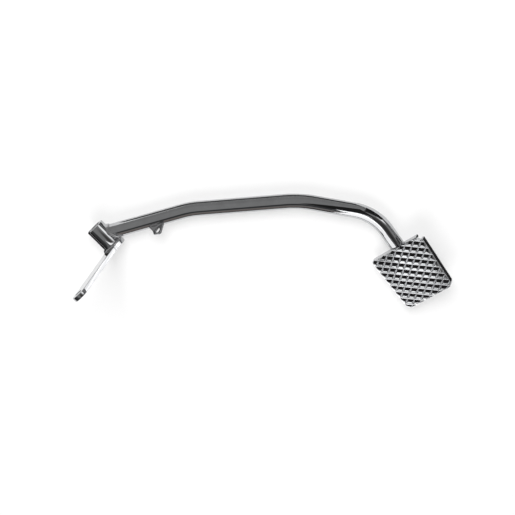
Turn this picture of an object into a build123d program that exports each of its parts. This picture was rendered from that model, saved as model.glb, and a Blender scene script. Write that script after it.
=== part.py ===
from build123d import *
import os
from math import ceil, cos, radians, sin, tan

# Rear brake pedal of a motorbike, for the right side: a chromed steel weldment, in millimetres.
# X is forward, Y is to the left (towards the frame) and Z is up.
# The origin is the middle of the pivot bore, and the bent arm lies level a little below it.

# Pivot tube, on the Y axis
pivot_outer_d = 17.5
pivot_bore_d = 12.0
pivot_length = 28.0
pivot_edge_chamfer = 0.6

# Rod lever, a plate whose eye sits over the outer end of the pivot tube
lever_thickness = 4.2
lever_width = 14.5
lever_length = 84.0
lever_angle = 106.0
lever_eye_wall = 2.2
lever_eye_clearance = 0.05
lever_root_radius = 8.0
rod_hole_d = 6.8
plate_edge_chamfer = 0.4

# Arm tube: four level runs, each heading further out than the last
arm_outer_d = 14.0
arm_wall = 2.0
arm_root_shift = 3.86
arm_foot_inset = 0.25
root_run = 85.3
root_heading = 25.7
middle_run = 99.6
middle_heading = 37.1
outer_run = 68.3
outer_heading = 52.5
pad_run = 63.5
pad_heading = 98.2
root_bend_radius = 82.0
middle_bend_radius = 102.0
outer_bend_radius = 44.0
arm_end_gap = 3.0

# Spring tab, a small plate bent up beside the arm
tab_thickness = 1.6
tab_station = 42.8
tab_length = 13.0
tab_fold_gap = 2.9
tab_lean = 26.0
tab_bend_radius = 2.2
tab_seam_out = 3.4
tab_tip_height = 11.0
tab_tip_station = 7.2
tab_rear_height = 5.4
tab_front_height = 2.6
tab_corner_radius = 2.5
spring_hole_d = 5.0
spring_hole_height = 4.4
spring_hole_station = 5.4

# Foot pad: a pressed plate with a skirt, raised at its front edge
pad_length = 53.7
pad_breadth = 56.6
pad_front_taper = 5.0
pad_tilt = 17.5
pad_turn = 3.1
pad_forward_shift = 2.0
pad_web = 2.0
pad_skirt_wall = 2.2
pad_skirt_depth = 5.4
pad_skirt_flare = 3.0
pad_edge_radius = 3.0
pad_corner_radius = 6.0
pad_rear_inner_radius = 2.0
pad_notch_radius = 4.5
pad_seat_clearance = 0.05

# Tread: V grooves along the rows and narrower ones across them, which leave flat-topped studs
stud_height = 2.1
groove_pitch = 6.06
groove_angle = 36.0
stud_top_width = 0.8
stud_top_length = 3.8

# Weld beads
arm_bead = 2.6
arm_bead_rise = 1.0
lever_bead = 2.0
tab_bead = 1.5
tab_bead_inset = 1.0
pad_bead_inner = 2.0
pad_bead_outer = 6.8
pad_bead_angle = 35.0
pad_bead_length = 32.0

os.makedirs("parts", exist_ok=True)

pivot_r = pivot_outer_d / 2
arm_r = arm_outer_d / 2
arm_drop = pivot_r - arm_r - arm_foot_inset
pivot_half = pivot_length / 2
lever_inner_y = lever_thickness - pivot_half
lever_eye_r = pivot_r + lever_eye_clearance + lever_eye_wall


def heading_vector(heading):
    """Level unit vector turned outward from straight ahead."""
    return Vector(cos(radians(heading)), -sin(radians(heading)), 0)


# Corners of the arm's centreline, from under the pivot axis to the middle of the pad and to the open end
root_cos = cos(radians(root_heading))
root_sin = sin(radians(root_heading))
root_dir = heading_vector(root_heading)
pad_dir = heading_vector(pad_heading)
arm_root = Vector(0, arm_root_shift, -arm_drop)
root_corner = arm_root + root_dir * root_run
middle_corner = root_corner + heading_vector(middle_heading) * middle_run
outer_corner = middle_corner + heading_vector(outer_heading) * outer_run
pad_station = outer_corner + pad_dir * pad_run
arm_end = pad_station + pad_dir * (pad_breadth / 2 - pad_skirt_wall - arm_end_gap)

# Plane of the pad's underside: it holds the line along the top of the tube, raised at the front
ahead_level = heading_vector(pad_heading - 90)
pad_ahead = ahead_level * cos(radians(pad_tilt)) + Vector(0, 0, sin(radians(pad_tilt)))
pad_normal = Vector(0, 0, cos(radians(pad_tilt))) - ahead_level * sin(radians(pad_tilt))
seat_plane = Plane(pad_station + pad_normal * arm_r, x_dir=pad_ahead, z_dir=pad_normal)
pad_forward = pad_ahead * cos(radians(pad_turn)) + seat_plane.y_dir * sin(radians(pad_turn))
pad_plane = Plane(seat_plane.origin + pad_ahead * pad_forward_shift, x_dir=pad_forward, z_dir=pad_normal)

# Section planes across the arm where it leaves the pivot and under the pad
root_plane = Plane(arm_root, x_dir=(0, 0, 1), z_dir=root_dir)
run_plane = Plane(pad_station, x_dir=pad_ahead, z_dir=pad_dir)

# Pivot tube
inner_end_plane = Plane((0, pivot_half, 0), x_dir=(1, 0, 0), z_dir=(0, -1, 0))
with BuildPart() as pivot_tube:
    with BuildSketch(inner_end_plane):
        Circle(pivot_r)
        Circle(pivot_bore_d / 2, mode=Mode.SUBTRACT)
    extrude(amount=pivot_length)
    chamfer(pivot_tube.edges().filter_by(GeomType.CIRCLE), length=pivot_edge_chamfer)

# Rod lever
lever_plane = Plane((0, lever_inner_y, 0), x_dir=(1, 0, 0), z_dir=(0, -1, 0))
with BuildPart() as rod_lever:
    with BuildSketch(lever_plane) as lever_outline:
        Circle(lever_eye_r)
        Rectangle(
            lever_length, lever_width, rotation=lever_angle, align=(Align.MIN, Align.CENTER)
        )
        roots = lever_outline.vertices().sort_by_distance((0, 0))[:2]
        fillet(roots, radius=lever_root_radius)
        with PolarLocations(lever_length, 1, lever_angle):
            Circle(lever_width / 2)
            Circle(rod_hole_d / 2, mode=Mode.SUBTRACT)
        Circle(pivot_r + lever_eye_clearance, mode=Mode.SUBTRACT)
    extrude(amount=lever_thickness)
    flats = rod_lever.faces().filter_by(Axis.Y)
    chamfer([edge for flat in flats for edge in flat.outer_wire().edges()], length=plate_edge_chamfer)

# Arm tube, fish-mouthed onto the pivot tube
with BuildPart() as arm_tube:
    with BuildLine() as arm_path:
        FilletPolyline(
            arm_root,
            root_corner,
            middle_corner,
            outer_corner,
            arm_end,
            radius=[root_bend_radius, middle_bend_radius, outer_bend_radius],
        )
    with BuildSketch(root_plane):
        Circle(arm_r)
        Circle(arm_r - arm_wall, mode=Mode.SUBTRACT)
    sweep(path=arm_path.line)
    with BuildSketch(inner_end_plane):
        Circle(pivot_r)
    extrude(amount=pivot_length, mode=Mode.SUBTRACT)

# Spring tab: the flat leg is coped to the tube, the other leg rises from the fold to a blunt tip
tab_mid_z = arm_r - arm_drop - tab_thickness / 2
tab_rear = tab_station * root_cos
tab_fold_out = tab_station * root_sin - arm_root_shift + arm_r + tab_fold_gap
tab_rise = Vector(0, -sin(radians(tab_lean)), cos(radians(tab_lean)))
tab_fold = Vector(0, -tab_fold_out, tab_mid_z)
tab_plane = Plane((tab_rear, 0, 0), x_dir=(0, 1, 0), z_dir=(1, 0, 0))
tab_tip = tab_fold + tab_rise * tab_tip_height
lug_plane = Plane(tab_fold + Vector(tab_rear, 0, 0), x_dir=(1, 0, 0), z_dir=Vector(1, 0, 0).cross(tab_rise))
seam_plane = Plane(arm_root, x_dir=root_dir, z_dir=(0, 0, 1))
with BuildPart() as spring_tab:
    with BuildSketch(tab_plane):
        with BuildLine() as tab_line:
            FilletPolyline(
                (0, tab_mid_z), (tab_fold.Y, tab_mid_z), (tab_tip.Y, tab_tip.Z), radius=tab_bend_radius
            )
        trace(tab_line.line, line_width=tab_thickness)
    extrude(amount=tab_length)
    with BuildSketch(lug_plane):
        with BuildLine():
            lug_edge = FilletPolyline(
                (0, -tab_fold_out),
                (0, tab_rear_height),
                (tab_tip_station, tab_tip_height),
                (tab_length, tab_front_height),
                (tab_length, -tab_fold_out),
                radius=tab_corner_radius,
            )
            Line(lug_edge @ 1, lug_edge @ 0)
        make_face()
        with Locations((spring_hole_station, spring_hole_height)):
            Circle(spring_hole_d / 2, mode=Mode.SUBTRACT)
    extrude(amount=tab_fold_out, both=True, mode=Mode.INTERSECT)
    with BuildSketch(seam_plane):
        with Locations((0, -tab_seam_out)):
            Rectangle(2 * root_run, 2 * root_run, align=(Align.CENTER, Align.MIN))
    extrude(amount=arm_outer_d, both=True, mode=Mode.SUBTRACT)
    with BuildSketch(root_plane):
        Circle(arm_r)
    extrude(amount=root_run, mode=Mode.SUBTRACT)

# Foot pad
pad_top_plane = pad_plane.offset(pad_web + stud_height)
half_length = pad_length / 2
half_breadth = pad_breadth / 2
taper_shift = half_breadth * tan(radians(pad_front_taper))
underside_spread = (pad_web + stud_height) * tan(radians(pad_skirt_flare))
front_inner = (half_length + taper_shift, half_breadth)
front_outer = (half_length - taper_shift, -half_breadth)
rear_outer = (-half_length, -half_breadth)
rear_inner = (-half_length, half_breadth)
groove_count = ceil((pad_length + pad_breadth) / groove_pitch)
with BuildPart() as foot_pad:
    with BuildSketch(pad_top_plane) as pad_outline:
        with BuildLine():
            FilletPolyline(
                front_inner,
                front_outer,
                rear_outer,
                rear_inner,
                radius=[
                    pad_rear_inner_radius,
                    pad_corner_radius,
                    pad_corner_radius,
                    pad_rear_inner_radius,
                ],
                close=True,
            )
        make_face()
    extrude(amount=-(stud_height + pad_skirt_depth), taper=-pad_skirt_flare)
    top_face = foot_pad.faces().sort_by(Axis(pad_plane.origin, pad_normal))[-1]
    fillet(top_face.edges(), radius=pad_edge_radius)
    with BuildSketch(pad_plane):
        add(offset(pad_outline.sketch_local, underside_spread - pad_skirt_wall, mode=Mode.PRIVATE))
    extrude(amount=-pad_skirt_depth, taper=-pad_skirt_flare, mode=Mode.SUBTRACT)
    for turn, top in ((-groove_angle, stud_top_width), (groove_angle, stud_top_length)):
        groove_half = (groove_pitch - top) / 2
        groove_dir = pad_plane.x_dir.rotate(Axis(pad_plane.origin, pad_normal), turn)
        groove_plane = Plane(pad_top_plane.origin, x_dir=pad_normal.cross(groove_dir), z_dir=groove_dir)
        with BuildSketch(groove_plane):
            with GridLocations(groove_pitch, 0, groove_count, 1):
                Polygon((-groove_half, 0), (groove_half, 0), (0, -stud_height), align=None)
        extrude(amount=pad_length + pad_breadth, both=True, mode=Mode.SUBTRACT)
    with BuildSketch(pad_top_plane):
        with Locations(front_inner):
            Circle(pad_notch_radius)
    extrude(amount=-(stud_height + pad_skirt_depth), mode=Mode.SUBTRACT)
    with BuildSketch(run_plane):
        Circle(arm_r + pad_seat_clearance)
    extrude(amount=-pad_breadth, mode=Mode.SUBTRACT)

# Weld bead round the foot of the arm, up to the lever's plate
arm_bead_r = arm_r + arm_bead_rise
pivot_bead_r = pivot_r + arm_bead
arm_axis = Axis(arm_root, root_dir)
pivot_axis = Axis.Y


def reach_from(axis, point):
    """Distance of a point from an axis line."""
    arm = point - axis.position
    return (arm - axis.direction * arm.dot(axis.direction)).length


def bead_reach(edge):
    """How far the middle of an edge stands from the arm's axis and the pivot's axis, added up."""
    mid = edge.position_at(0.5)
    return reach_from(arm_axis, mid) + reach_from(pivot_axis, mid)


with BuildPart() as arm_weld:
    with BuildSketch(root_plane):
        Circle(arm_bead_r)
        Circle(arm_r, mode=Mode.SUBTRACT)
    extrude(amount=2 * pivot_outer_d)
    with BuildSketch(Plane.XZ):
        Circle(pivot_bead_r)
    extrude(amount=2 * pivot_outer_d, both=True, mode=Mode.INTERSECT)
    with BuildSketch(Plane.XZ):
        Circle(pivot_r)
    extrude(amount=2 * pivot_outer_d, both=True, mode=Mode.SUBTRACT)
    chamfer(arm_weld.edges().group_by(bead_reach)[-1], length=0.6 * arm_bead_rise)
    with BuildSketch(inner_end_plane):
        Rectangle(4 * pivot_outer_d, 4 * pivot_outer_d)
    extrude(amount=pivot_length - lever_thickness, mode=Mode.INTERSECT)

# Weld bead round the pivot tube on the lever's inner face
with BuildPart() as lever_weld:
    with BuildSketch(Plane.XY):
        Polygon(
            (pivot_r, lever_inner_y),
            (pivot_r + lever_bead, lever_inner_y),
            (pivot_r + 0.7 * lever_bead, lever_inner_y + 0.7 * lever_bead),
            (pivot_r, lever_inner_y + lever_bead),
            align=None,
        )
    revolve(axis=Axis.Y)
    with BuildSketch(root_plane):
        Circle(arm_r)
    extrude(amount=2 * pivot_outer_d, mode=Mode.SUBTRACT)
    add(arm_weld.part, mode=Mode.SUBTRACT)

# Weld bead along the seam between the tab's flat leg and the top of the arm
seam_start = tab_station + tab_seam_out * root_sin / root_cos + tab_bead_inset
fold_start_out = tab_fold_out - tab_bend_radius
seam_end = (fold_start_out + arm_root_shift - tab_seam_out * root_cos) / root_sin
with BuildPart() as tab_weld:
    with BuildSketch(root_plane.offset(seam_start)):
        with Locations((arm_r - tab_bead / 2, tab_seam_out)):
            Circle(tab_bead)
        Circle(arm_r, mode=Mode.SUBTRACT)
        with Locations((arm_r, tab_seam_out)):
            Rectangle(arm_outer_d, arm_outer_d, align=(Align.MAX, Align.MIN), mode=Mode.SUBTRACT)
    extrude(amount=seam_end - seam_start)
    add(spring_tab.part, mode=Mode.SUBTRACT)

# Weld beads between the pad's underside and both sides of the arm
bead_foot = (arm_r * cos(radians(pad_bead_angle)), arm_r * sin(radians(pad_bead_angle)))
pad_welds = {}
for name, side in {"pad_weld_front": 1, "pad_weld_rear": -1}.items():
    with BuildPart() as pad_weld:
        with BuildSketch(run_plane.offset(-pad_bead_length / 2)):
            Polygon(
                (side * pad_bead_inner, arm_r),
                (side * pad_bead_outer, arm_r),
                (side * bead_foot[0], bead_foot[1]),
                (side * pad_bead_inner, bead_foot[1]),
                align=None,
            )
            Circle(arm_r, mode=Mode.SUBTRACT)
        extrude(amount=pad_bead_length)
    pad_welds[name] = pad_weld

pieces = {
    "pivot_tube": pivot_tube,
    "rod_lever": rod_lever,
    "arm_tube": arm_tube,
    "spring_tab": spring_tab,
    "foot_pad": foot_pad,
    "arm_weld": arm_weld,
    "lever_weld": lever_weld,
    "tab_weld": tab_weld,
    **pad_welds,
}
for name, piece in pieces.items():
    piece.part.label = name
    export_step(piece.part, f"parts/{name}.step")
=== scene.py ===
from math import acos, atan2, ceil, cos, hypot, pi, radians, sin, sqrt, tan

import bmesh
import bpy
import numpy as np
from mathutils import Matrix, Vector
from mathutils.geometry import tessellate_polygon


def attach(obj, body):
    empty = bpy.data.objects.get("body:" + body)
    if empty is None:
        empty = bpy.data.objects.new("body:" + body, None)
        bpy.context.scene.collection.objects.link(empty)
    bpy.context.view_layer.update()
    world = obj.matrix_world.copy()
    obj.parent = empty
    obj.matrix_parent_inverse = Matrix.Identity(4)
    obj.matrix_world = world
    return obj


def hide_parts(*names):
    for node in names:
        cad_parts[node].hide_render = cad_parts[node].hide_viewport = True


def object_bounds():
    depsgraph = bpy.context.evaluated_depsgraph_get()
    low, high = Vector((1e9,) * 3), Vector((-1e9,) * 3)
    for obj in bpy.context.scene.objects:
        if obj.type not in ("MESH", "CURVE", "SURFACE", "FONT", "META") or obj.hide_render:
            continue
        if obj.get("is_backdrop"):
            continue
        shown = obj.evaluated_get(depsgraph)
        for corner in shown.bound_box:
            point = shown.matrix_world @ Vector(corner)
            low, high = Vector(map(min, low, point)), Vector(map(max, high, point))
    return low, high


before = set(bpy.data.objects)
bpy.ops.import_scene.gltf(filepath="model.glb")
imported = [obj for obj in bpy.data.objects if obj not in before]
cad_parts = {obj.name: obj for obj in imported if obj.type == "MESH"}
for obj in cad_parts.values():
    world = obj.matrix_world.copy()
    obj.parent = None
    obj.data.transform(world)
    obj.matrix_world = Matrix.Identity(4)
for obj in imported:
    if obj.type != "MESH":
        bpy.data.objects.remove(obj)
cad_low, cad_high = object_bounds()
scene = bpy.context.scene
MM = 0.001

# Camera at the photograph's viewing angle
CAMERA_RIGHT = Vector((0.7237, -0.6851, -0.0831))
CAMERA_UP = Vector((0.6240, 0.7011, -0.3452))
CAMERA_BACK = Vector((0.2948, 0.1980, 0.9348))
CAMERA_EYE = Vector((0.493755, 0.163424, 1.277882))
CAMERA_SENSOR = 36.0
CAMERA_LENS = 104.85
camera_data = bpy.data.cameras.new("camera")
camera_data.sensor_width = CAMERA_SENSOR
camera_data.lens = CAMERA_LENS
camera = bpy.data.objects.new("camera", camera_data)
scene.collection.objects.link(camera)
camera.matrix_world = Matrix(
    [(*row, where) for row, where in zip(zip(CAMERA_RIGHT, CAMERA_UP, CAMERA_BACK), CAMERA_EYE)]
    + [(0, 0, 0, 1)]
)
scene.camera = camera
scene.view_settings.view_transform = "Standard"

# Sizes of the part, in millimetres, as in the solids
PIVOT_R = 8.75
BORE_R = 6.0
PIVOT_HALF = 14.0
PIVOT_EDGE = 0.6
LEVER_THICK = 4.2
LEVER_HALF_WIDTH = 7.25
LEVER_LENGTH = 84.0
LEVER_ANGLE = 106.0
LEVER_EYE_CLEARANCE = 0.05
LEVER_EYE_WALL = 2.2
LEVER_EYE_HOLE_R = PIVOT_R + LEVER_EYE_CLEARANCE
LEVER_EYE_R = LEVER_EYE_HOLE_R + LEVER_EYE_WALL
LEVER_ROOT_R = 8.0
ROD_HOLE_R = 3.4
PLATE_EDGE = 0.4
ARM_R = 7.0
ARM_INNER_R = 5.0
ARM_SHIFT = 3.86
ARM_DROP = 1.5
RUNS = ((85.3, 25.7), (99.6, 37.1), (68.3, 52.5), (63.5, 98.2))
BEND_RADII = (82.0, 102.0, 44.0)
ARM_END_GAP = 3.0
PAD_LENGTH = 53.7
PAD_BREADTH = 56.6
PAD_TAPER = 5.0
PAD_TILT = 17.5
PAD_TURN = 3.1
PAD_FORWARD_SHIFT = 2.0
PAD_WEB = 2.0
PAD_WALL = 2.2
PAD_SKIRT = 5.4
PAD_FLARE = 3.0
PAD_EDGE_R = 3.0
PAD_CORNERS = (2.0, 6.0, 6.0, 2.0)
PAD_NOTCH_R = 4.5
PAD_SEAT_CLEARANCE = 0.05
STUD_HEIGHT = 2.1
GROOVE_PITCH = 6.06
GROOVE_ANGLE = 36.0
STUD_TOP_WIDTH = 0.8
STUD_TOP_LENGTH = 3.8
ARM_BEAD = 2.6
ARM_BEAD_RISE = 1.0
LEVER_BEAD = 2.0
TAB_THICK = 1.6
TAB_STATION = 42.8
TAB_LENGTH = 13.0
TAB_FOLD_GAP = 2.9
TAB_LEAN = 26.0
TAB_BEND = 2.2
TAB_SEAM_OUT = 3.4
TAB_TIP_HEIGHT = 11.0
TAB_TIP_STATION = 7.2
TAB_REAR_HEIGHT = 5.4
TAB_FRONT_HEIGHT = 2.6
TAB_CORNER_R = 2.5
TAB_EDGE = 0.45
SPRING_HOLE_R = 2.5
SPRING_HOLE_HEIGHT = 4.4
SPRING_HOLE_STATION = 5.4
TAB_BEAD = 1.5
TAB_BEAD_INSET = 1.0
PAD_BEAD_INNER = 2.0
PAD_BEAD_OUTER = 6.8
PAD_BEAD_ANGLE = 35.0
PAD_BEAD_LENGTH = 32.0
LEVER_INNER_Y = LEVER_THICK - PIVOT_HALF

# Fineness of the meshes: steps round circles and arcs, and turns in degrees through a quarter round
AROUND = 128
LATHE = 160
BEND_STEP = 1.2
EYE_STEPS = 96
ROOT_STEPS = 16
HOLE_STEPS = 64
CORNER_STEPS = 12
QUARTER_ROUND = (0, 22.5, 45, 67.5, 90)
SMALL_ROUND = (0, 30, 60, 90)


def heading_vector(heading):
    """Level unit vector turned outward from straight ahead."""
    return Vector((cos(radians(heading)), -sin(radians(heading)), 0))


def node_input(node, name, value):
    node.inputs[name].default_value = value


# Clouding of the plating: how detailed it is, where it sets in and how much it darkens the base colour
CLOUD_DETAIL = 4.0
GLOSS_FROM = 0.35
GLOSS_TO = 0.75
TINT_FROM = 0.3
TINT_TO = 0.7
TINT_DARK = 0.9
RIPPLE_DETAIL = 3.0


def make_chrome(name, base, roughness, dull_scale, bump_height, bump_scale):
    """Chrome plating: cloudy gloss and slight waviness, in object space."""
    material = bpy.data.materials.new(name)
    material.use_nodes = True
    nodes = material.node_tree.nodes
    links = material.node_tree.links
    shader = nodes["Principled BSDF"]
    node_input(shader, "Metallic", 1.0)
    where = nodes.new("ShaderNodeTexCoord")

    clouds = nodes.new("ShaderNodeTexNoise")
    node_input(clouds, "Scale", dull_scale)
    node_input(clouds, "Detail", CLOUD_DETAIL)
    links.new(where.outputs["Object"], clouds.inputs["Vector"])

    gloss = nodes.new("ShaderNodeMapRange")
    node_input(gloss, "From Min", GLOSS_FROM)
    node_input(gloss, "From Max", GLOSS_TO)
    node_input(gloss, "To Min", roughness[0])
    node_input(gloss, "To Max", roughness[1])
    links.new(clouds.outputs["Fac"], gloss.inputs["Value"])
    links.new(gloss.outputs["Result"], shader.inputs["Roughness"])

    tint = nodes.new("ShaderNodeValToRGB")
    tint.color_ramp.elements[0].position = TINT_FROM
    tint.color_ramp.elements[0].color = (*[channel * TINT_DARK for channel in base], 1.0)
    tint.color_ramp.elements[1].position = TINT_TO
    tint.color_ramp.elements[1].color = (*base, 1.0)
    links.new(clouds.outputs["Fac"], tint.inputs["Fac"])
    links.new(tint.outputs["Color"], shader.inputs["Base Color"])

    ripple = nodes.new("ShaderNodeTexNoise")
    node_input(ripple, "Scale", bump_scale)
    node_input(ripple, "Detail", RIPPLE_DETAIL)
    links.new(where.outputs["Object"], ripple.inputs["Vector"])
    bump = nodes.new("ShaderNodeBump")
    node_input(bump, "Strength", 1.0)
    node_input(bump, "Distance", bump_height)
    links.new(ripple.outputs["Fac"], bump.inputs["Height"])
    links.new(bump.outputs["Normal"], shader.inputs["Normal"])
    return material


CHROME_BASE = (0.53, 0.535, 0.545)
WELD_BASE = (0.52, 0.52, 0.53)
chrome = make_chrome(
    "chrome", CHROME_BASE, roughness=(0.05, 0.1), dull_scale=90.0, bump_height=0.00002, bump_scale=260.0
)
chrome_weld = make_chrome(
    "chrome_weld", WELD_BASE, roughness=(0.08, 0.2), dull_scale=400.0, bump_height=0.00006, bump_scale=900.0
)


def add_piece(name, points, faces, material, nodes, sharp=35.0):
    """A mesh piece, points in millimetres, that stands for CAD nodes and rides on the part."""
    mesh = bpy.data.meshes.new(name)
    mesh.from_pydata([tuple(coordinate * MM for coordinate in point) for point in points], [], faces)
    mesh.validate()
    mesh.polygons.foreach_set("use_smooth", [True] * len(mesh.polygons))
    mesh.set_sharp_from_angle(angle=radians(sharp))
    mesh.materials.append(material)
    piece = bpy.data.objects.new(name, mesh)
    scene.collection.objects.link(piece)
    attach(piece, "root")
    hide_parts(*nodes)
    return piece


def grid_faces(rows, columns, start=0, wrap_rows=False, wrap_columns=False):
    """Quads of a grid of points numbered row by row."""
    faces = []
    for row in range(rows if wrap_rows else rows - 1):
        for column in range(columns if wrap_columns else columns - 1):
            across = (column + 1) % columns
            along = (row + 1) % rows
            faces.append(
                (
                    start + row * columns + column,
                    start + row * columns + across,
                    start + along * columns + across,
                    start + along * columns + column,
                )
            )
    return faces


def arc(centre, radius, first, last, steps):
    """Points of a flat arc, angles in radians."""
    return [
        (
            centre[0] + radius * cos(first + (last - first) * step / steps),
            centre[1] + radius * sin(first + (last - first) * step / steps),
        )
        for step in range(steps + 1)
    ]


# Centreline of the arm: straight runs joined by tangent arcs
arm_root = Vector((0, ARM_SHIFT, -ARM_DROP))
root_dir = heading_vector(RUNS[0][1])
pad_dir = heading_vector(RUNS[-1][1])
corners = [arm_root]
for run, heading in RUNS:
    corners.append(corners[-1] + heading_vector(heading) * run)
pad_station = corners[-1]
corners[-1] = pad_station + pad_dir * (PAD_BREADTH / 2 - PAD_WALL - ARM_END_GAP)


def arm_stations(step):
    """Points and headings along the arm's centreline from its first arc to its end."""
    stations = []
    for index, radius in enumerate(BEND_RADII):
        heading_in = RUNS[index][1]
        heading_out = RUNS[index + 1][1]
        corner = corners[index + 1]
        setback = radius * tan(radians(heading_out - heading_in) / 2)
        start = corner - heading_vector(heading_in) * setback
        inward = heading_vector(heading_in + 90)
        count = ceil((heading_out - heading_in) / step)
        for part in range(count + 1):
            turn = (heading_out - heading_in) * part / count
            heading = heading_in + turn
            point = start + inward * radius - heading_vector(heading + 90) * radius
            stations.append((point, heading))
    stations.append((corners[-1], RUNS[-1][1]))
    return stations


def root_distance(offset, radius):
    """How far along the first run a line beside the arm's axis leaves a cylinder round Y."""
    start = arm_root + offset
    a = root_dir.x ** 2
    b = start.x * root_dir.x
    c = start.x ** 2 + start.z ** 2 - radius ** 2
    return (-b + sqrt(max(b * b - a * c, 0.0))) / a


def ring_offset(angle, heading, radius):
    """Offset from the tube's axis, angle measured from straight up towards the outer side."""
    return Vector((0, 0, radius * cos(angle))) + heading_vector(heading + 90) * (radius * sin(angle))


END_ROUND = 0.3
ARM_SINK = 0.05
angles = [2 * pi * part / AROUND for part in range(AROUND)]
stations = arm_stations(BEND_STEP)
arm_points = []
arm_rows = 0
for radius, order in ((ARM_R, 1), (ARM_INNER_R, -1)):
    rows = []
    rows.append(
        [
            arm_root + ring_offset(angle, RUNS[0][1], radius)
            + root_dir * root_distance(ring_offset(angle, RUNS[0][1], radius), PIVOT_R - ARM_SINK)
            for angle in angles
        ]
    )
    for point, heading in stations[:-1]:
        rows.append([point + ring_offset(angle, heading, radius) for angle in angles])
    end_point, end_heading = stations[-1]
    toward = 1 if radius == ARM_R else -1
    for turn in SMALL_ROUND:
        shrink = END_ROUND * (1 - cos(radians(turn)))
        back = END_ROUND * (1 - sin(radians(turn)))
        rows.append(
            [
                end_point - heading_vector(end_heading) * back
                + ring_offset(angle, end_heading, radius - toward * shrink)
                for angle in angles
            ]
        )
    for row in rows[::order]:
        arm_points.extend(row)
        arm_rows += 1
add_piece(
    "arm",
    arm_points,
    grid_faces(arm_rows, AROUND, wrap_rows=True, wrap_columns=True),
    chrome,
    ["arm_tube"],
)


# Pivot tube, turned about Y, with rounded rims
def rounded_rim(radius, end, inside):
    """Quarter round at one rim of the pivot tube, as radius and Y, walking round the wall's section."""
    side = -1 if inside else 1
    outward = 1 if end > 0 else -1
    points = []
    for turn in QUARTER_ROUND:
        points.append(
            (
                radius - side * PIVOT_EDGE * (1 - cos(radians(turn))),
                end - outward * PIVOT_EDGE * (1 - sin(radians(turn))),
            )
        )
    return points


profile = (
    rounded_rim(PIVOT_R, PIVOT_HALF, False)
    + rounded_rim(BORE_R, PIVOT_HALF, True)[::-1]
    + rounded_rim(BORE_R, -PIVOT_HALF, True)
    + rounded_rim(PIVOT_R, -PIVOT_HALF, False)[::-1]
)
pivot_points = []
for radius, along in profile:
    for part in range(LATHE):
        turn = 2 * pi * part / LATHE
        pivot_points.append((radius * sin(turn), along, radius * cos(turn)))
add_piece(
    "pivot",
    pivot_points,
    grid_faces(len(profile), LATHE, wrap_rows=True, wrap_columns=True),
    chrome,
    ["pivot_tube"],
)


def loop_normals(loop):
    """Outward normals of a closed counter-clockwise loop of flat points."""
    normals = []
    count = len(loop)
    for index in range(count):
        before = loop[index - 1]
        after = loop[(index + 1) % count]
        tangent = Vector((after[0] - before[0], after[1] - before[1])).normalized()
        normals.append((tangent.y, -tangent.x))
    return normals


PLATE_MARGIN = 0.15


def plate(outline, holes, thickness, edge, hole_edge, place):
    """A plate with rounded edges. The outline runs counter-clockwise and the holes clockwise."""
    half = thickness / 2
    points = []
    faces = []
    caps = []
    for loop, rounding in [(outline, edge)] + [(hole, hole_edge) for hole in holes]:
        normals = loop_normals(loop)
        rings = [(rounding + PLATE_MARGIN, half)]
        rings += [
            (rounding * (1 - sin(radians(turn))), half - rounding * (1 - cos(radians(turn))))
            for turn in QUARTER_ROUND
        ]
        rings += [(inset, -level) for inset, level in rings[::-1]]
        start = len(points)
        for inset, level in rings:
            for (x, y), (nx, ny) in zip(loop, normals):
                points.append((x - nx * inset, y - ny * inset, level))
        faces += grid_faces(len(rings), len(loop), start, wrap_columns=True)
        caps.append((start, start + (len(rings) - 1) * len(loop), len(loop)))
    for end in (0, 1):
        loops = [[points[cap[end] + index] for index in range(cap[2])] for cap in caps]
        numbers = [cap[end] + index for cap in caps for index in range(cap[2])]
        for triangle in tessellate_polygon([[Vector(point) for point in loop] for loop in loops]):
            corner = [numbers[index] for index in triangle]
            a, b, c = (Vector(points[index]) for index in corner)
            up = (b - a).cross(c - a).z > 0
            faces.append(tuple(corner if up == (end == 0) else corner[::-1]))
    return [place(*point) for point in points], faces


# Rod lever: eye, shank with fillets at its root, and a round end
LEVER_HOLE_EDGE = 0.1
root_centre_q = LEVER_HALF_WIDTH + LEVER_ROOT_R
root_centre_p = sqrt((LEVER_EYE_R + LEVER_ROOT_R) ** 2 - root_centre_q ** 2)
eye_turn = atan2(root_centre_q, root_centre_p)
lever_outline = arc((0, 0), LEVER_EYE_R, eye_turn, 2 * pi - eye_turn, EYE_STEPS)
lever_outline += arc((root_centre_p, -root_centre_q), LEVER_ROOT_R, pi - eye_turn, pi / 2, ROOT_STEPS)[1:]
lever_outline += arc((LEVER_LENGTH, 0), LEVER_HALF_WIDTH, -pi / 2, pi / 2, HOLE_STEPS)
lever_outline += arc((root_centre_p, root_centre_q), LEVER_ROOT_R, -pi / 2, eye_turn - pi, ROOT_STEPS)[:-1]
lever_holes = [
    arc((0, 0), LEVER_EYE_HOLE_R, 2 * pi, 0, AROUND)[:-1],
    arc((LEVER_LENGTH, 0), ROD_HOLE_R, 2 * pi, 0, HOLE_STEPS)[:-1],
]
lever_along = Vector((cos(radians(LEVER_ANGLE)), 0, sin(radians(LEVER_ANGLE))))
lever_across = Vector((-sin(radians(LEVER_ANGLE)), 0, cos(radians(LEVER_ANGLE))))
lever_mid_y = LEVER_THICK / 2 - PIVOT_HALF


def place_lever(p, q, w):
    return lever_along * p + lever_across * q + Vector((0, lever_mid_y - w, 0))


lever_points, lever_faces = plate(
    lever_outline, lever_holes, LEVER_THICK, PLATE_EDGE, LEVER_HOLE_EDGE, place_lever
)
add_piece("lever", lever_points, lever_faces, chrome, ["rod_lever"])

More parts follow.
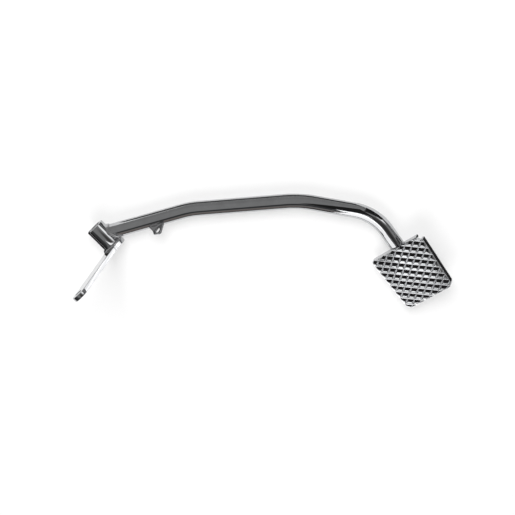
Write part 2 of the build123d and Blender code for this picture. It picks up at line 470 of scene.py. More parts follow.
# Frame of the foot pad: x ahead, y to the inner side, z out of the tread
ahead_level = heading_vector(RUNS[-1][1] - 90)
pad_ahead = ahead_level * cos(radians(PAD_TILT)) + Vector((0, 0, sin(radians(PAD_TILT))))
pad_normal = Vector((0, 0, cos(radians(PAD_TILT)))) - ahead_level * sin(radians(PAD_TILT))
seat_left = pad_normal.cross(pad_ahead)
pad_x = pad_ahead * cos(radians(PAD_TURN)) + seat_left * sin(radians(PAD_TURN))
pad_y = pad_normal.cross(pad_x)
pad_top = pad_station + pad_normal * (ARM_R + PAD_WEB + STUD_HEIGHT) + pad_ahead * PAD_FORWARD_SHIFT
half_length = PAD_LENGTH / 2
half_breadth = PAD_BREADTH / 2
taper_shift = half_breadth * tan(radians(PAD_TAPER))
pad_corners = [
    Vector((half_length + taper_shift, half_breadth)),
    Vector((-half_length, half_breadth)),
    Vector((-half_length, -half_breadth)),
    Vector((half_length - taper_shift, -half_breadth)),
]
corner_radii = (PAD_CORNERS[0], PAD_CORNERS[3], PAD_CORNERS[2], PAD_CORNERS[1])
notch = pad_corners[0]

# The rolled edge runs from the tread to the leaning skirt, and its foot is the rim
flare = radians(PAD_FLARE)
roll_turn = pi / 2 - flare
roll_reach = PAD_EDGE_R * sin(roll_turn)
roll_drop = PAD_EDGE_R * (1 - cos(roll_turn))
rim_spread = roll_drop * tan(flare)


def spread_corners(corners, distance):
    """Corners of a counter-clockwise outline with every edge moved outward."""
    spread = []
    for index, corner in enumerate(corners):
        edge_in = (corner - corners[index - 1]).normalized()
        edge_out = (corners[(index + 1) % len(corners)] - corner).normalized()
        out_in = Vector((edge_in.y, -edge_in.x))
        out_out = Vector((edge_out.y, -edge_out.x))
        spread.append(corner + (out_in + out_out) * (distance / (1 + out_in.dot(out_out))))
    return spread


rim_corners = spread_corners(pad_corners, rim_spread)
pad_rounds = []
for index, corner in enumerate(rim_corners):
    radius = corner_radii[index] + rim_spread
    edge_in = (corner - rim_corners[index - 1]).normalized()
    edge_out = (rim_corners[(index + 1) % 4] - corner).normalized()
    turn = acos(edge_in.dot(edge_out))
    setback = radius * tan(turn / 2)
    inward = Vector((-edge_in.y, edge_in.x))
    pad_rounds.append((corner - edge_in * setback + inward * radius, radius, edge_in, edge_out))


def edge_distance(x, y):
    """Distance of points in the pad's plane from its rounded rim, positive inside."""
    nearest = np.full(np.shape(x), 1e9)
    for index, corner in enumerate(rim_corners):
        along = (rim_corners[(index + 1) % 4] - corner).normalized()
        nearest = np.minimum(nearest, -(x - corner.x) * along.y + (y - corner.y) * along.x)
    for centre, radius, edge_in, edge_out in pad_rounds:
        dx = x - centre.x
        dy = y - centre.y
        inside = (dx * edge_in.x + dy * edge_in.y > 0) & (dx * edge_out.x + dy * edge_out.y < 0)
        nearest = np.where(inside, radius - np.hypot(dx, dy), nearest)
    return nearest


# Small rounds of the tread, and how finely its mesh follows the studs, the rolled edge and the notch
VALLEY_ROUND = 0.1
RIDGE_ROUND = 0.12
GRID_STEP = 0.2
EDGE_STEPS = 12
NOTCH_STEP = 6


def soft_min(a, b, width):
    """Smaller of two heights, blended over a width where they are close."""
    near = np.maximum(width - np.abs(a - b), 0.0) / width
    return np.minimum(a, b) - near * near * width * 0.25


def tread_height(x, y):
    """Height of the tread below the tops of its studs."""
    inset = np.clip(edge_distance(x, y), 0.0, roll_reach)
    rolled = np.sqrt(np.maximum(PAD_EDGE_R ** 2 - (roll_reach - inset) ** 2, 0.0)) - PAD_EDGE_R
    height = rolled
    for turn, top in ((-GROOVE_ANGLE, STUD_TOP_WIDTH), (GROOVE_ANGLE, STUD_TOP_LENGTH)):
        groove_half = (GROOVE_PITCH - top) / 2
        across = y * cos(radians(turn)) - x * sin(radians(turn))
        off_groove = np.mod(across, GROOVE_PITCH) - GROOVE_PITCH / 2
        eased = np.sqrt(off_groove ** 2 + VALLEY_ROUND ** 2) - VALLEY_ROUND
        height = soft_min(height, eased * STUD_HEIGHT / groove_half - STUD_HEIGHT, RIDGE_ROUND)
    return height


def edge_spaced(low, high, count_middle):
    """Positions from low to high, close together over the rolled edges."""
    edge = [PAD_EDGE_R * (1 - cos(pi / 2 * part / EDGE_STEPS)) for part in range(EDGE_STEPS)]
    first = low + PAD_EDGE_R
    last = high - PAD_EDGE_R
    middle = [first + (last - first) * part / count_middle for part in range(count_middle + 1)]
    return [low + step for step in edge] + middle + [high - step for step in edge[::-1]]


def row_limits(y):
    """Ends of the tread along x at one y, with the corners' rounds and the notch."""
    front_inner = rim_corners[0]
    front_outer = rim_corners[3]
    slope = (front_inner.x - front_outer.x) / (front_inner.y - front_outer.y)
    low = rim_corners[1].x
    high = front_inner.x + (y - front_inner.y) * slope
    for centre, radius, *_ in pad_rounds[1:]:
        beyond = (y - centre.y) * (1 if centre.y > 0 else -1)
        if beyond > 0:
            reach = sqrt(max(radius ** 2 - beyond ** 2, 0.0))
            if centre.x > 0:
                high = min(high, centre.x + reach)
            else:
                low = max(low, centre.x - reach)
    if abs(y - notch.y) < PAD_NOTCH_R:
        high = min(high, notch.x - sqrt(PAD_NOTCH_R ** 2 - (y - notch.y) ** 2))
    return low, high


row_count = ceil((PAD_BREADTH - 2 * PAD_EDGE_R) / GRID_STEP)
row_y = edge_spaced(rim_corners[2].y, rim_corners[1].y, row_count)
row_y += [notch.y - PAD_NOTCH_R * cos(radians(turn)) for turn in range(0, 90, NOTCH_STEP)]
row_y.sort()
middle_count = ceil((PAD_LENGTH - 2 * PAD_EDGE_R) / GRID_STEP)
grid_x = []
for y in row_y:
    low, high = row_limits(y)
    grid_x.append(edge_spaced(low, high, middle_count))
grid_x = np.array(grid_x)
grid_y = np.repeat(np.array(row_y)[:, None], grid_x.shape[1], axis=1)
grid_z = tread_height(grid_x, grid_y)
rows, columns = grid_x.shape
pad_points = list(zip(grid_x.ravel(), grid_y.ravel(), grid_z.ravel()))
pad_faces = grid_faces(rows, columns)

# Skirt of the pad, walked round the edge of the tread
rim = [(0, column) for column in range(columns)]
rim += [(row, columns - 1) for row in range(1, rows)]
rim += [(rows - 1, column) for column in range(columns - 2, -1, -1)]
rim += [(row, 0) for row in range(rows - 2, 0, -1)]
UNDERSIDE = -(PAD_WEB + STUD_HEIGHT)
SKIRT_BOTTOM = -(PAD_SKIRT + STUD_HEIGHT)
LIP = 0.5
SKIRT_STEPS = 3
SLOT_SIDE = 1.0
PAD_SHARP = 50.0
GRADIENT_STEP = 1e-3
SLOT_R = ARM_R + PAD_SEAT_CLEARANCE
slot_turn = radians(PAD_TURN)
slot_x = -PAD_FORWARD_SHIFT * cos(slot_turn)
slot_y = PAD_FORWARD_SHIFT * sin(slot_turn)
rim_numbers = [row * columns + column for row, column in rim]
rim_points = []
for row, column in rim:
    x = grid_x[row, column]
    y = grid_y[row, column]
    on_notch = hypot(x - notch.x, y - notch.y) < PAD_NOTCH_R + 1e-6
    rim_points.append((x, y, grid_z[row, column], on_notch))
skirt_rings = []
for x, y, z, on_notch in rim_points:
    gradient_x = edge_distance(x + GRADIENT_STEP, y) - edge_distance(x - GRADIENT_STEP, y)
    gradient_y = edge_distance(x, y + GRADIENT_STEP) - edge_distance(x, y - GRADIENT_STEP)
    length = max(hypot(gradient_x, gradient_y), 1e-9)
    inward = (gradient_x / length, gradient_y / length)
    bottom = SKIRT_BOTTOM
    wall = PAD_WALL
    lean = tan(flare)
    if on_notch:
        bottom = UNDERSIDE
        wall = 0.0
        lean = 0.0
    elif y > half_breadth - SLOT_SIDE:
        off_slot = (x - slot_x) * cos(slot_turn) - (y - slot_y) * sin(slot_turn)
        if abs(off_slot) < SLOT_R:
            bottom = max(bottom, UNDERSIDE - ARM_R + sqrt(SLOT_R ** 2 - off_slot ** 2))
    bottom = min(bottom, UNDERSIDE)
    lip = min(LIP, wall / 2, UNDERSIDE - bottom)
    drop = bottom + lip - z
    ring = [(0.0, z + drop * part / SKIRT_STEPS) for part in range(1, SKIRT_STEPS + 1)]
    for turn in SMALL_ROUND[1:]:
        ring.append((lip * (1 - cos(radians(turn))), bottom + lip * (1 - sin(radians(turn)))))
    for turn in SMALL_ROUND:
        ring.append((wall - lip * (1 - sin(radians(turn))), bottom + lip * (1 - cos(radians(turn)))))
    ring.append((wall, UNDERSIDE))
    placed = []
    for inset, level in ring:
        inset += min(level + roll_drop, 0.0) * lean
        placed.append((x + inward[0] * inset, y + inward[1] * inset, level))
    skirt_rings.append(placed)
depth = len(skirt_rings[0])
skirt_start = len(pad_points)
for ring in skirt_rings:
    pad_points.extend(ring)
count = len(rim_points)
for index in range(count):
    after = (index + 1) % count
    here = [rim_numbers[index]] + [skirt_start + index * depth + part for part in range(depth)]
    there = [rim_numbers[after]] + [skirt_start + after * depth + part for part in range(depth)]
    for part in range(depth):
        pad_faces.append((here[part], here[part + 1], there[part + 1], there[part]))
under_loop = [Vector(skirt_rings[index][-1]) for index in range(count)]
under_numbers = [skirt_start + index * depth + depth - 1 for index in range(count)]
for triangle in tessellate_polygon([under_loop]):
    corner = [under_numbers[index] for index in triangle]
    a, b, c = (Vector(pad_points[index]) for index in corner)
    pad_faces.append(tuple(corner if (b - a).cross(c - a).z < 0 else corner[::-1]))
pad_points = [pad_top + pad_x * x + pad_y * y + pad_normal * z for x, y, z in pad_points]
add_piece("pad", pad_points, pad_faces, chrome, ["foot_pad"], sharp=PAD_SHARP)

# Rippled weld bead round the foot of the arm
BEAD_STEPS = 720
BEAD_SECTION = 14
BEAD_SHARP = 70.0
BEAD_ROOT = 0.5
BEAD_HEEL = 0.8
TRAIL_CURVE = 6.4
ARM_RIPPLES = 30
RIPPLE_DEPTH = 0.16

# Slow waves in the size of the arm's bead: depth, number round the bead and phase
SAG_WAVES = ((0.06, 3, 0.7), (0.04, 7, 2.0))


def ripple(turn, across, count, depth):
    """Scalloped ripple along a bead, curved like the trail of a weld pool."""
    wave = abs(sin(turn * count / 2 + TRAIL_CURVE * (across - 0.5) ** 2))
    return 1.0 - depth * (1.0 - sqrt(wave))


arm_bead_points = []
for part in range(BEAD_STEPS):
    angle = 2 * pi * part / BEAD_STEPS
    sag = 1.0 + sum(depth * sin(waves * angle + phase) for depth, waves, phase in SAG_WAVES)
    section = []
    for step in range(BEAD_SECTION + 1):
        across = step / BEAD_SECTION
        size = ripple(angle, across, ARM_RIPPLES, RIPPLE_DEPTH) * min(sag, 1.0)
        rise = ARM_BEAD_RISE * size * sin(across * pi / 2)
        section.append((ARM_R + rise, PIVOT_R + ARM_BEAD * size * cos(across * pi / 2)))
    section.append((ARM_R + BEAD_HEEL * ARM_BEAD_RISE, PIVOT_R - BEAD_ROOT))
    section.append((ARM_R - BEAD_ROOT, PIVOT_R - BEAD_ROOT))
    section.append((ARM_R - BEAD_ROOT, PIVOT_R + BEAD_HEEL * ARM_BEAD))
    for radius, reach in section:
        offset = ring_offset(angle, RUNS[0][1], radius)
        point = arm_root + offset + root_dir * root_distance(offset, reach)
        point.y = max(point.y, LEVER_INNER_Y)
        arm_bead_points.append(point)
add_piece(
    "arm_bead",
    arm_bead_points,
    grid_faces(BEAD_STEPS, BEAD_SECTION + 4, wrap_rows=True, wrap_columns=True),
    chrome_weld,
    ["arm_weld"],
    sharp=BEAD_SHARP,
)

# Rippled weld bead round the pivot tube on the lever's inner face
LEVER_RIPPLES = 34
TUBE_ROOT = 0.4
FACE_ROOT = 0.3
lever_bead_points = []
for part in range(BEAD_STEPS):
    angle = 2 * pi * part / BEAD_STEPS
    section = []
    for step in range(BEAD_SECTION + 1):
        across = step / BEAD_SECTION
        size = LEVER_BEAD * ripple(angle, across, LEVER_RIPPLES, RIPPLE_DEPTH)
        turn = across * pi / 2
        section.append((PIVOT_R + size * cos(turn), LEVER_INNER_Y + size * sin(turn)))
    section.append((PIVOT_R - TUBE_ROOT, LEVER_INNER_Y + BEAD_HEEL * LEVER_BEAD))
    section.append((PIVOT_R - TUBE_ROOT, LEVER_INNER_Y - FACE_ROOT))
    section.append((PIVOT_R + BEAD_HEEL * LEVER_BEAD, LEVER_INNER_Y - FACE_ROOT))
    for radius, along in section:
        lever_bead_points.append((radius * sin(angle), along, radius * cos(angle)))
add_piece(
    "lever_bead",
    lever_bead_points,
    grid_faces(BEAD_STEPS, BEAD_SECTION + 4, wrap_rows=True, wrap_columns=True),
    chrome_weld,
    ["lever_weld"],
    sharp=BEAD_SHARP,
)

# Rippled weld beads between the pad's underside and both sides of the arm
PAD_BEAD_STEPS = 200
PAD_RIPPLES = 18
PAD_RIPPLE_DEPTH = 0.3
TAIL_POWER = 12
TAIL_LEAST = 0.02
TAIL_NARROWING = 0.14
HOLLOW_OUT = 0.6
HOLLOW_UP = 0.5
PAD_BEAD_LIFT = 0.4
PAD_BEAD_SINK = 0.1
bead_foot = (ARM_R * cos(radians(PAD_BEAD_ANGLE)), ARM_R * sin(radians(PAD_BEAD_ANGLE)))
for name, side in (("pad_bead_front", 1), ("pad_bead_rear", -1)):
    bead_points = []
    for part in range(PAD_BEAD_STEPS + 1):
        share = part / PAD_BEAD_STEPS
        tail = sqrt(max(1.0 - (2 * share - 1) ** TAIL_POWER, TAIL_LEAST))
        narrowed = 1.0 - TAIL_NARROWING * (1.0 - tail)
        section = []
        for step in range(BEAD_SECTION + 1):
            across = step / BEAD_SECTION
            wave = ripple(2 * pi * share, across, PAD_RIPPLES, PAD_RIPPLE_DEPTH)
            flat = 1 - wave * sin(across * pi) * tail
            out = PAD_BEAD_OUTER + (bead_foot[0] - PAD_BEAD_OUTER) * across
            up = ARM_R + (bead_foot[1] - ARM_R) * across
            section.append((out * narrowed - HOLLOW_OUT * flat, up - HOLLOW_UP * flat + PAD_BEAD_LIFT))
        section.append((PAD_BEAD_INNER, bead_foot[1] + PAD_BEAD_LIFT))
        section.append((PAD_BEAD_INNER, ARM_R + PAD_BEAD_SINK))
        along = pad_dir * (PAD_BEAD_LENGTH * (share - 0.5))
        for out, up in section:
            bead_points.append(pad_station + along + pad_ahead * (side * out) + pad_normal * up)
    columns = BEAD_SECTION + 3
    bead_faces = grid_faces(PAD_BEAD_STEPS + 1, columns, wrap_columns=True)
    bead_faces.append(tuple(range(columns)))
    bead_faces.append(tuple(PAD_BEAD_STEPS * columns + column for column in reversed(range(columns))))
    node_name = name.replace("bead", "weld")
    add_piece(name, bead_points, bead_faces, chrome_weld, [node_name], sharp=BEAD_SHARP)

# Spring tab: a flat blank with rounded edges, bent up at its fold
TAB_FOLDS = 16
TAB_HOLE_EDGE = 0.3
TAB_ROOT_ROUND = 0.5
TAB_FOLD_ROUND = 0.3
root_turn = radians(RUNS[0][1])
tab_turn = radians(90 - TAB_LEAN)
tab_tangent = TAB_BEND * tan(tab_turn / 2)
tab_half_arc = TAB_BEND * tab_turn / 2
tab_rear = TAB_STATION * cos(root_turn)
tab_mid_z = ARM_R - ARM_DROP - TAB_THICK / 2
tab_fold_y = ARM_SHIFT - TAB_STATION * sin(root_turn) - ARM_R - TAB_FOLD_GAP


def blank_place(height):
    """Place on the flat blank of a height up the raised leg, counted from the sharp fold."""
    return height - tab_tangent + tab_half_arc


def seam_depth(station):
    """How far the flat leg reaches from the fold to the seam on the arm."""
    along = (tab_rear + station + TAB_SEAM_OUT * sin(root_turn)) / cos(root_turn)
    return ARM_SHIFT - along * sin(root_turn) - TAB_SEAM_OUT * cos(root_turn) - tab_fold_y


def rounded_loop(corners):
    """Counter-clockwise loop through corners given as x, y and radius."""
    loop = []
    for index, (x, y, radius) in enumerate(corners):
        corner = Vector((x, y))
        before = (corner - Vector(corners[index - 1][:2])).normalized()
        after = (Vector(corners[(index + 1) % len(corners)][:2]) - corner).normalized()
        turn = acos(max(-1.0, min(1.0, before.dot(after))))
        centre = corner - before * (radius * tan(turn / 2)) + Vector((-before.y, before.x)) * radius
        first = atan2(before.y, before.x) - pi / 2
        loop += arc(centre, radius, first, first + turn, CORNER_STEPS)
    return loop


def bend_tab(station, along, outward):
    """Point of the blank after bending."""
    angle = min(max((along + tab_half_arc) / TAB_BEND, 0.0), tab_turn)
    heading = Vector((0, -cos(angle), sin(angle)))
    facing = Vector((0, -sin(angle), -cos(angle)))
    centre = Vector((tab_rear + station, tab_fold_y + tab_tangent, tab_mid_z + TAB_BEND))
    beyond = max(abs(along) - tab_half_arc, 0.0) * (1 if along > 0 else -1)
    return centre + facing * (TAB_BEND + outward) + heading * beyond


tab_blank = rounded_loop(
    [
        (0.0, -blank_place(seam_depth(0.0)), TAB_ROOT_ROUND),
        (TAB_LENGTH, TAB_FOLD_ROUND, TAB_FOLD_ROUND),
        (TAB_LENGTH, blank_place(TAB_FRONT_HEIGHT), TAB_CORNER_R),
        (TAB_TIP_STATION, blank_place(TAB_TIP_HEIGHT), TAB_CORNER_R),
        (0.0, blank_place(TAB_REAR_HEIGHT), TAB_CORNER_R),
    ]
)
hole_centre = (SPRING_HOLE_STATION, blank_place(SPRING_HOLE_HEIGHT))
tab_hole = arc(hole_centre, SPRING_HOLE_R, 2 * pi, 0, HOLE_STEPS)[:-1]
flat_points, flat_faces = plate(
    tab_blank, [tab_hole], TAB_THICK, TAB_EDGE, TAB_HOLE_EDGE, lambda *point: point
)
blank_mesh = bmesh.new()
blank_verts = [blank_mesh.verts.new(point) for point in flat_points]
for face in flat_faces:
    blank_mesh.faces.new([blank_verts[index] for index in face])
for part in range(TAB_FOLDS + 1):
    bmesh.ops.bisect_plane(
        blank_mesh,
        geom=blank_mesh.verts[:] + blank_mesh.edges[:] + blank_mesh.faces[:],
        dist=1e-5,
        plane_co=(0, tab_half_arc * (2 * part / TAB_FOLDS - 1), 0),
        plane_no=(0, 1, 0),
    )
blank_mesh.verts.index_update()
tab_points = [bend_tab(*vert.co) for vert in blank_mesh.verts]
tab_faces = [tuple(vert.index for vert in face.verts) for face in blank_mesh.faces]
blank_mesh.free()
add_piece("tab", tab_points, tab_faces, chrome, ["spring_tab"])

# Rippled weld bead along the seam between the tab and the top of the arm
TAB_BEAD_STEPS = 120
TAB_BEAD_ROUND = 24
TAB_RIPPLES = 8
TAB_RIPPLE_DEPTH = 0.2
TAB_TAIL_POWER = 6
TAB_TAIL_LEAST = 0.01
seam_start = TAB_STATION + TAB_SEAM_OUT * tan(root_turn) + TAB_BEAD_INSET
seam_end = (ARM_SHIFT - tab_fold_y - TAB_BEND - TAB_SEAM_OUT * cos(root_turn)) / sin(root_turn)
tab_bead_points = []
for part in range(TAB_BEAD_STEPS + 1):
    share = part / TAB_BEAD_STEPS
    tail = sqrt(max(1.0 - (2 * share - 1) ** TAB_TAIL_POWER, TAB_TAIL_LEAST))
    radius = TAB_BEAD * tail * ripple(2 * pi * share, 0.5, TAB_RIPPLES, TAB_RIPPLE_DEPTH)
    centre = arm_root + root_dir * (seam_start + (seam_end - seam_start) * share)
    for step in range(TAB_BEAD_ROUND):
        turn = 2 * pi * step / TAB_BEAD_ROUND
        up = ARM_R - TAB_BEAD / 2 + radius * cos(turn)
        out = TAB_SEAM_OUT + radius * sin(turn)
        tab_bead_points.append(centre + Vector((0, 0, up)) + heading_vector(RUNS[0][1] + 90) * out)
tab_bead_faces = grid_faces(TAB_BEAD_STEPS + 1, TAB_BEAD_ROUND, wrap_columns=True)
tab_bead_faces.append(tuple(range(TAB_BEAD_ROUND)))
last_ring = TAB_BEAD_STEPS * TAB_BEAD_ROUND
tab_bead_faces.append(tuple(last_ring + step for step in range(TAB_BEAD_ROUND)))
add_piece(
    "tab_bead", tab_bead_points, tab_bead_faces, chrome_weld, ["tab_weld"], sharp=BEAD_SHARP
)

# Pale floor, lifted to white where the camera or the metal sees it, in metres
FLOOR_DROP = 0.0002
FLOOR_HALF = 4.0
FLOOR_GREY = (0.5, 0.5, 0.5)
FLOOR_LIFT = 0.46
FLOOR_Z = cad_low.z - FLOOR_DROP
floor_mesh = bpy.data.meshes.new("floor")
floor_mesh.from_pydata(
    [
        (-FLOOR_HALF, -FLOOR_HALF, FLOOR_Z),
        (FLOOR_HALF, -FLOOR_HALF, FLOOR_Z),
        (FLOOR_HALF, FLOOR_HALF, FLOOR_Z),
        (-FLOOR_HALF, FLOOR_HALF, FLOOR_Z),
    ],
    [],
    [(0, 1, 2, 3)],
)
floor = bpy.data.objects.new("floor", floor_mesh)
scene.collection.objects.link(floor)
floor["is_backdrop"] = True
paper = bpy.data.materials.new("paper")
paper.use_nodes = True
paper_nodes = paper.node_tree.nodes
paper_links = paper.node_tree.links
paper_nodes.clear()
paper_out = paper_nodes.new("ShaderNodeOutputMaterial")
paper_sum = paper_nodes.new("ShaderNodeAddShader")
paper_diffuse = paper_nodes.new("ShaderNodeBsdfDiffuse")
node_input(paper_diffuse, "Color", (*FLOOR_GREY, 1.0))
paper_glow = paper_nodes.new("ShaderNodeEmission")
path = paper_nodes.new("ShaderNodeLightPath")
seen = paper_nodes.new("ShaderNodeMath")
seen.operation = "MAXIMUM"
seen_all = paper_nodes.new("ShaderNodeMath")
seen_all.operation = "MAXIMUM"
lift = paper_nodes.new("ShaderNodeMath")
lift.operation = "MULTIPLY"
lift.inputs[1].default_value = FLOOR_LIFT
paper_links.new(path.outputs["Is Camera Ray"], seen.inputs[0])
paper_links.new(path.outputs["Is Glossy Ray"], seen.inputs[1])
paper_links.new(seen.outputs[0], seen_all.inputs[0])
paper_links.new(path.outputs["Is Transmission Ray"], seen_all.inputs[1])
paper_links.new(seen_all.outputs[0], lift.inputs[0])
paper_links.new(lift.outputs[0], paper_glow.inputs["Strength"])
paper_links.new(paper_diffuse.outputs[0], paper_sum.inputs[0])
paper_links.new(paper_glow.outputs[0], paper_sum.inputs[1])

# The sheet is clear from below, so the underside of the part can be seen
paper_side = paper_nodes.new("ShaderNodeNewGeometry")
paper_clear = paper_nodes.new("ShaderNodeBsdfTransparent")
paper_choice = paper_nodes.new("ShaderNodeMixShader")
paper_links.new(paper_side.outputs["Backfacing"], paper_choice.inputs["Fac"])
paper_links.new(paper_sum.outputs[0], paper_choice.inputs[1])
paper_links.new(paper_clear.outputs[0], paper_choice.inputs[2])
paper_links.new(paper_choice.outputs[0], paper_out.inputs["Surface"])
floor_mesh.materials.append(paper)

# World: a plain studio, darker low down and in a few directions
world = bpy.data.worlds.new("studio")
scene.world = world
world.use_nodes = True
sky = world.node_tree.nodes
sky_links = world.node_tree.links
direction = sky.new("ShaderNodeTexCoord")
background = sky["Background"]


def sky_direction(azimuth, elevation):
    """Unit vector, azimuth counted from +X towards +Y."""
    a = radians(azimuth)
    e = radians(elevation)
    return Vector((cos(a) * cos(e), sin(a) * cos(e), sin(e)))


def sky_mask(azimuth, elevation, inner, outer):
    """1 within the inner angle of a direction and 0 beyond the outer angle."""
    dot = sky.new("ShaderNodeVectorMath")
    dot.operation = "DOT_PRODUCT"
    dot.inputs[1].default_value = sky_direction(azimuth, elevation)
    sky_links.new(direction.outputs["Generated"], dot.inputs[0])
    ramp = sky.new("ShaderNodeMapRange")
    ramp.interpolation_type = "SMOOTHSTEP"
    node_input(ramp, "From Min", cos(radians(outer)))
    node_input(ramp, "From Max", cos(radians(inner)))
    sky_links.new(dot.outputs["Value"], ramp.inputs["Value"])
    return ramp.outputs["Result"]


def sky_mix(factor, below, colour):
    """Lays a colour over what is there already."""
    mix = sky.new("ShaderNodeMixRGB")
    sky_links.new(factor, mix.inputs["Fac"])
    if isinstance(below, tuple):
        mix.inputs["Color1"].default_value = (*below, 1.0)
    else:
        sky_links.new(below, mix.inputs["Color1"])
    mix.inputs["Color2"].default_value = (*colour, 1.0)
    return mix.outputs["Color"]


# Greys of the studio above and near the floor, and the heights between which one turns into the other
STUDIO_GREY = (0.3, 0.3, 0.3)
LOW_GREY = (0.08, 0.08, 0.083)
LOW_BAND_TOP = 0.3
LOW_BAND_BOTTOM = 0.12

# Patches of the studio: azimuth, elevation, inner and outer angle in degrees, and colour
PATCHES = (
    (60, 5, 25, 45, (0.27, 0.27, 0.27)),  # grey wall beyond the inner side
    (230, 58, 8, 18, (0.05, 0.05, 0.052)),  # dark ceiling over the outer side
    (195, 10, 20, 34, (0.025, 0.025, 0.026)),  # dark wall behind the pivot
    (190, 45, 10, 20, (0.06, 0.06, 0.062)),  # dark ceiling behind the pivot
    (325, 60, 10, 24, (0.08, 0.075, 0.073)),  # dark ceiling ahead, over the pad
    (232, 28, 8, 18, (0.22, 0.19, 0.175)),  # warm grey wall beyond the outer side
    (357, 28, 6, 14, (1.5, 1.5, 1.5)),  # bright window ahead
)
height = sky.new("ShaderNodeSeparateXYZ")
sky_links.new(direction.outputs["Generated"], height.inputs[0])
low_band = sky.new("ShaderNodeMapRange")
low_band.interpolation_type = "SMOOTHSTEP"
node_input(low_band, "From Min", LOW_BAND_TOP)
node_input(low_band, "From Max", LOW_BAND_BOTTOM)
sky_links.new(height.outputs["Z"], low_band.inputs["Value"])
sky_colour = sky_mix(low_band.outputs["Result"], STUDIO_GREY, LOW_GREY)
for azimuth, elevation, inner, outer, colour in PATCHES:
    sky_colour = sky_mix(sky_mask(azimuth, elevation, inner, outer), sky_colour, colour)
sky_links.new(sky_colour, background.inputs["Color"])
node_input(background, "Strength", 1.0)


def add_lamp(name, location, target, size, energy):
    """A soft square lamp that points at a place."""
    lamp_data = bpy.data.lights.new(name, "AREA")
    lamp_data.size = size
    lamp_data.energy = energy
    lamp = bpy.data.objects.new(name, lamp_data)
    scene.collection.objects.link(lamp)
    lamp.location = location
    lamp.rotation_mode = "QUATERNION"
    lamp.rotation_quaternion = (Vector(target) - Vector(location)).to_track_quat("-Z", "Y")
    lamp.visible_glossy = False
    return lamp


# Key and fill lamps: place from the middle of the part, size in metres and power in watts
KEY_FROM = Vector((0.8, 1.0, 1.6))
KEY_SIZE = 1.2
KEY_POWER = 36.0
FILL_FROM = Vector((-1.0, -0.8, 1.6))
FILL_SIZE = 1.4
FILL_POWER = 22.0
middle = (cad_low + cad_high) / 2
add_lamp("key", middle + KEY_FROM, middle, KEY_SIZE, KEY_POWER)
add_lamp("fill", middle + FILL_FROM, middle, FILL_SIZE, FILL_POWER)


def add_card(name, location, target, width, height, brightness):
    """A small lit card beside the part that only the metal shows."""
    card = add_lamp(name, location, target, width, brightness * pi * width * height)
    card.data.shape = "RECTANGLE"
    card.data.size_y = height
    card.visible_glossy = True
    card.visible_camera = False
    card.visible_diffuse = False


# Heights of sheets that lie on the floor, one over the other
LOWER_SHEET_Z = FLOOR_Z + 0.0002
UPPER_SHEET_Z = FLOOR_Z + 0.0004

# Lit cards over the tread, behind the pad and along the lever's forward edge, in metres
PAD_CARD_AT = Vector((0.133, -0.214, 0.06))
PAD_CARD_TO = Vector((0.19, -0.195, 0.012))
RIDGE_CARD_AT = Vector((0.147, -0.172, 0.122))
RIDGE_CARD_TO = Vector((0.189, -0.211, 0.022))
REAR_CARD_AT = Vector((0.116, -0.24, UPPER_SHEET_Z))
REAR_CARD_TO = Vector((0.116, -0.24, 0.05))
LEVER_CARD_STATION = 50.0
LEVER_CARD_OFFSET = Vector((0.0112, -0.003, -0.0095))
lever_edge = place_lever(LEVER_CARD_STATION, -LEVER_HALF_WIDTH, 0.0)
lever_card_at = lever_edge * MM + LEVER_CARD_OFFSET
lever_card_to = lever_card_at + lever_across
add_card("pad card", PAD_CARD_AT, PAD_CARD_TO, width=0.085, height=0.1, brightness=1.65)
add_card("rear card", REAR_CARD_AT, REAR_CARD_TO, width=0.092, height=0.1, brightness=1.3)
add_card("lever card", lever_card_at, lever_card_to, width=0.01, height=0.072, brightness=1.5)
add_card("ridge card", RIDGE_CARD_AT, RIDGE_CARD_TO, width=0.04, height=0.04, brightness=2.2)


def add_reflection_sheet(name, outline, grey):
    """A flat glowing grey sheet that only the metal shows: a painted reflection, unseen by the camera,
    casting no shadow and lighting nothing.
    """
    reflection_sheet_mesh = bpy.data.meshes.new(name)
    reflection_sheet_mesh.from_pydata([tuple(point) for point in outline], [], [tuple(range(len(outline)))])
    reflection_sheet_material = bpy.data.materials.new(name)
    reflection_sheet_material.use_nodes = True
    reflection_sheet_nodes = reflection_sheet_material.node_tree.nodes
    reflection_sheet_nodes.clear()
    reflection_sheet_out = reflection_sheet_nodes.new("ShaderNodeOutputMaterial")
    reflection_sheet_glow = reflection_sheet_nodes.new("ShaderNodeEmission")
    node_input(reflection_sheet_glow, "Color", (grey, grey, grey, 1.0))
    reflection_sheet_material.node_tree.links.new(reflection_sheet_glow.outputs[0], reflection_sheet_out.inputs["Surface"])
    reflection_sheet_mesh.materials.append(reflection_sheet_material)
    reflection_sheet = bpy.data.objects.new(name, reflection_sheet_mesh)
    scene.collection.objects.link(reflection_sheet)
    reflection_sheet.visible_camera = False
    reflection_sheet.visible_diffuse = False
    reflection_sheet.visible_shadow = False
    reflection_sheet.visible_transmission = False
    reflection_sheet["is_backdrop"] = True


# Strips beside the arm for the glowing sheets that paint dark and grey reflections along it: where they
# start, and how far they draw away per degree of the last bend
STRIP_START = 14.0
STRIP_DRAW = 2.5


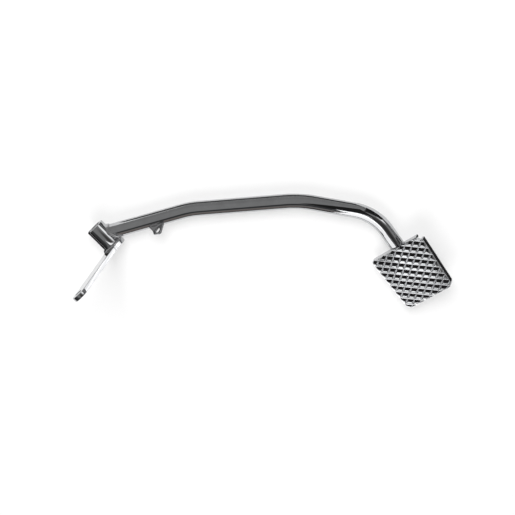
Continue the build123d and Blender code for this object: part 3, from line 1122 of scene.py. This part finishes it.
def beside_arm(first, last, height):
    """Outline of a strip beside the arm, between two distances from its axis."""
    line = [(arm_root + root_dir * STRIP_START, RUNS[0][1], 0.0)]
    for point, heading in stations:
        line.append((point, heading, max(heading - RUNS[2][1], 0.0) * STRIP_DRAW))
    near = [point - heading_vector(heading + 90) * (first + away) for point, heading, away in line]
    far = [point - heading_vector(heading + 90) * (last + away) for point, heading, away in line]
    return [Vector((point.x * MM, point.y * MM, height)) for point in near + far[::-1]]


def facing_quad(centre, toward, half_width, half_height):
    """Corners of a sheet that faces a direction."""
    side = Vector((-toward.y, toward.x, 0)).normalized() * half_width
    rise = toward.cross(side).normalized() * half_height
    return [centre - side - rise, centre + side - rise, centre + side + rise, centre - side + rise]


# Glowing grey sheets on the floor, seen only by the metal, that paint a dark line and a grey band into the
# arm's reflections and a dark reflection into the pad's forward side: distances from the arm in
# millimetres, corners in metres
ARM_LINE = (20, 52)
ARM_SHEET = (50, 1200)
FRONT_LOW_X = 0.222
FRONT_HIGH_X = 0.34
FRONT_LOW_Y = -0.3
FRONT_HIGH_Y = -0.19
front_corners = [
    (FRONT_LOW_X, FRONT_LOW_Y, UPPER_SHEET_Z),
    (FRONT_HIGH_X, FRONT_LOW_Y, UPPER_SHEET_Z),
    (FRONT_HIGH_X, FRONT_HIGH_Y, UPPER_SHEET_Z),
    (FRONT_LOW_X, FRONT_HIGH_Y, UPPER_SHEET_Z),
]
add_reflection_sheet("arm line", beside_arm(*ARM_LINE, UPPER_SHEET_Z), grey=0.06)
add_reflection_sheet("arm sheet", beside_arm(*ARM_SHEET, LOWER_SHEET_Z), grey=0.27)
add_reflection_sheet("front flag", front_corners, grey=0.03)

# Glowing grey sheets that stand, seen only by the metal, painting dark reflections into the pivot, the
# pad's skirt and studs and the arm's last bend: middle, direction that they face, half width and half
# height in metres, and grey
STANDING_REFLECTION_SHEETS = {
    "pivot flag": (Vector((-0.0099, 0.001, -0.003)), Vector((1, 0, 0)), 0.018, 0.0098, 0.025),
    "skirt flag": (Vector((0.26, -0.145, 0.022)), Vector((0.56, 0.83, 0)), 0.036, 0.034, 0.02),
    "stud flag": (Vector((0.195, -0.128, 0.0865)), sky_direction(86, 38), 0.05, 0.042, 0.02),
    "bend flag": (Vector((0.212, -0.197, 0.115)), sky_direction(290, 80), 0.028, 0.034, 0.05),
}
for name, (centre, toward, half_width, half_height, grey) in STANDING_REFLECTION_SHEETS.items():
    add_reflection_sheet(name, facing_quad(centre, toward, half_width, half_height), grey)

low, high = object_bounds()
